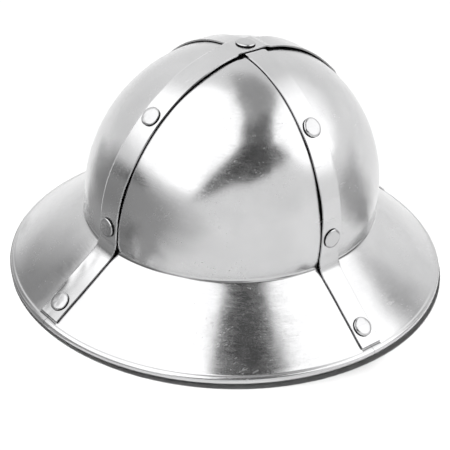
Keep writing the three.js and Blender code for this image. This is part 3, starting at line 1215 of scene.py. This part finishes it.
def panel_material(name, brightness):
    """An even glow that fades out where the panel's cover attribute does."""
    material = bpy.data.materials.new(name)
    material.use_nodes = True
    material.node_tree.nodes.clear()
    cover = add_node(material, "ShaderNodeAttribute", attribute_name="cover")
    clear = add_node(material, "ShaderNodeBsdfTransparent")
    glow = add_node(material, "ShaderNodeEmission", {"Strength": brightness})
    faded = add_node(
        material, "ShaderNodeMixShader",
        {0: cover.outputs["Fac"], 1: clear.outputs["BSDF"], 2: glow.outputs["Emission"]},
    )
    add_node(material, "ShaderNodeOutputMaterial", {"Surface": faded.outputs["Shader"]})
    return material


def panel_point(away, distance):
    """Place in that direction at that distance, or nearer where it would be under the floor."""
    if away.z < 0:
        distance = min(distance, -LOWEST_PANEL * HAT_MIDDLE.z / away.z)
    return HAT_MIDDLE + away * distance


def add_panel(name, corners, brightness, distance):
    """A soft box or card that shows only as a reflection in the steel."""
    outer = [direction(azimuth, elevation) for azimuth, elevation, fade in corners]
    middle = sum(outer, Vector()).normalized()
    inner = [away.lerp(middle, fade).normalized() for away, (*place, fade) in zip(outer, corners)]
    count = len(outer)
    faces = []
    for here in range(count):
        there = (here + 1) % count
        faces.append((here, there, count + there, count + here))
        faces.append((count + here, count + there, 2 * count))
    mesh = bpy.data.meshes.new(name)
    mesh.from_pydata([panel_point(away, distance) for away in (*outer, *inner, middle)], [], faces)
    cover = mesh.attributes.new("cover", "FLOAT", "POINT")
    cover.data.foreach_set("value", [0.0] * count + [1.0] * (count + 1))
    mesh.materials.append(panel_material(name, brightness))
    panel = bpy.data.objects.new(name, mesh)
    bpy.context.collection.objects.link(panel)
    panel.visible_camera = False
    panel.visible_diffuse = False
    panel.visible_shadow = False


def add_floor_lamp(azimuth, elevation, spread, strength):
    """A lamp that lights the paper and doesn't show in the steel."""
    bpy.ops.object.light_add(type="SUN")
    lamp = bpy.context.object
    lamp.name = "floor_lamp"
    lamp.data.energy = strength
    lamp.data.angle = math.radians(spread)
    lamp.visible_glossy = False
    lamp.rotation_mode = "QUATERNION"
    lamp.rotation_quaternion = direction(azimuth, elevation).to_track_quat("Z", "Y")


def add_camera(studio):
    bpy.ops.object.camera_add()
    camera = bpy.context.object
    camera.name = "camera"
    towards_camera = direction(math.degrees(studio.azimuth), math.degrees(studio.elevation))
    camera.location = Vector(studio.aim) + towards_camera * studio.distance
    turned = Matrix.Rotation(studio.azimuth, 3, "Z")
    upright = turned @ Matrix.Rotation(math.pi / 2 - studio.elevation, 3, "X")
    camera.rotation_mode = "QUATERNION"
    camera.rotation_quaternion = (upright @ Matrix.Rotation(studio.roll, 3, "Z")).to_quaternion()
    camera.data.lens = studio.lens
    camera.data.sensor_width = SENSOR_WIDTH
    bpy.context.scene.camera = camera


def add_floor(studio):
    bpy.ops.object.select_all(action="DESELECT")
    bpy.ops.mesh.primitive_plane_add(size=FLOOR_SIZE)
    floor = bpy.context.object
    floor.name = "floor"
    floor.data.materials.append(floor_paper(studio.paper))


def add_white_room(studio):
    """A room that shows in the steel; the paper is lit by its own lamp."""
    world = bpy.data.worlds.new("white_room")
    world.use_nodes = True
    background = world.node_tree.nodes["Background"]
    background.inputs["Color"].default_value = (1, 1, 1, 1)
    background.inputs["Strength"].default_value = studio.surround
    world.cycles_visibility.diffuse = False
    bpy.context.scene.world = world


class HAT_OT_stage(bpy.types.Operator):
    """Set up the camera, the floor and its lamp, the white room, the soft boxes and the cards"""

    bl_idname = "hat.stage"
    bl_label = "Stage"

    def execute(self, context):
        studio = context.scene.hat_studio
        add_camera(studio)
        add_floor(studio)
        add_white_room(studio)
        for name, panel in SOFTBOXES.items():
            add_panel(name, brightness=studio.softbox, **panel)
        for name, panel in CARDS.items():
            add_panel(name, **panel)
        add_floor_lamp(strength=studio.floor_lamp, **FLOOR_LAMP)
        context.scene.view_settings.view_transform = "Standard"
        return {"FINISHED"}


class HAT_PT_panel(bpy.types.Panel):
    """Lists the steps in the order that the hat is built in, and its settings"""

    bl_idname = "HAT_PT_panel"
    bl_label = "Kettle Hat"
    bl_space_type = "VIEW_3D"
    bl_region_type = "UI"
    bl_category = "Kettle Hat"

    def draw(self, context):
        column = self.layout.column()
        for operator in OPERATORS:
            column.operator(operator.bl_idname)
        for settings, group in SETTINGS.items():
            box = self.layout.box()
            for name in group.__annotations__:
                box.prop(getattr(context.scene, settings), name)


SETTINGS = {"hat_sizes": HatSizes, "hat_finish": HatFinish, "hat_studio": HatStudio}
OPERATORS = (HAT_OT_plates, HAT_OT_straps, HAT_OT_rivets, HAT_OT_stage)
CLASSES = (*SETTINGS.values(), *OPERATORS, HAT_PT_panel)


def register():
    for cls in CLASSES:
        bpy.utils.register_class(cls)
    for settings, group in SETTINGS.items():
        setattr(bpy.types.Scene, settings, PointerProperty(type=group))


def unregister():
    for settings in SETTINGS:
        delattr(bpy.types.Scene, settings)
    for cls in reversed(CLASSES):
        bpy.utils.unregister_class(cls)


def main():
    register()
    bpy.ops.hat.plates()
    bpy.ops.hat.straps()
    bpy.ops.hat.rivets()
    bpy.ops.hat.stage()


if __name__ == "__main__":
    main()
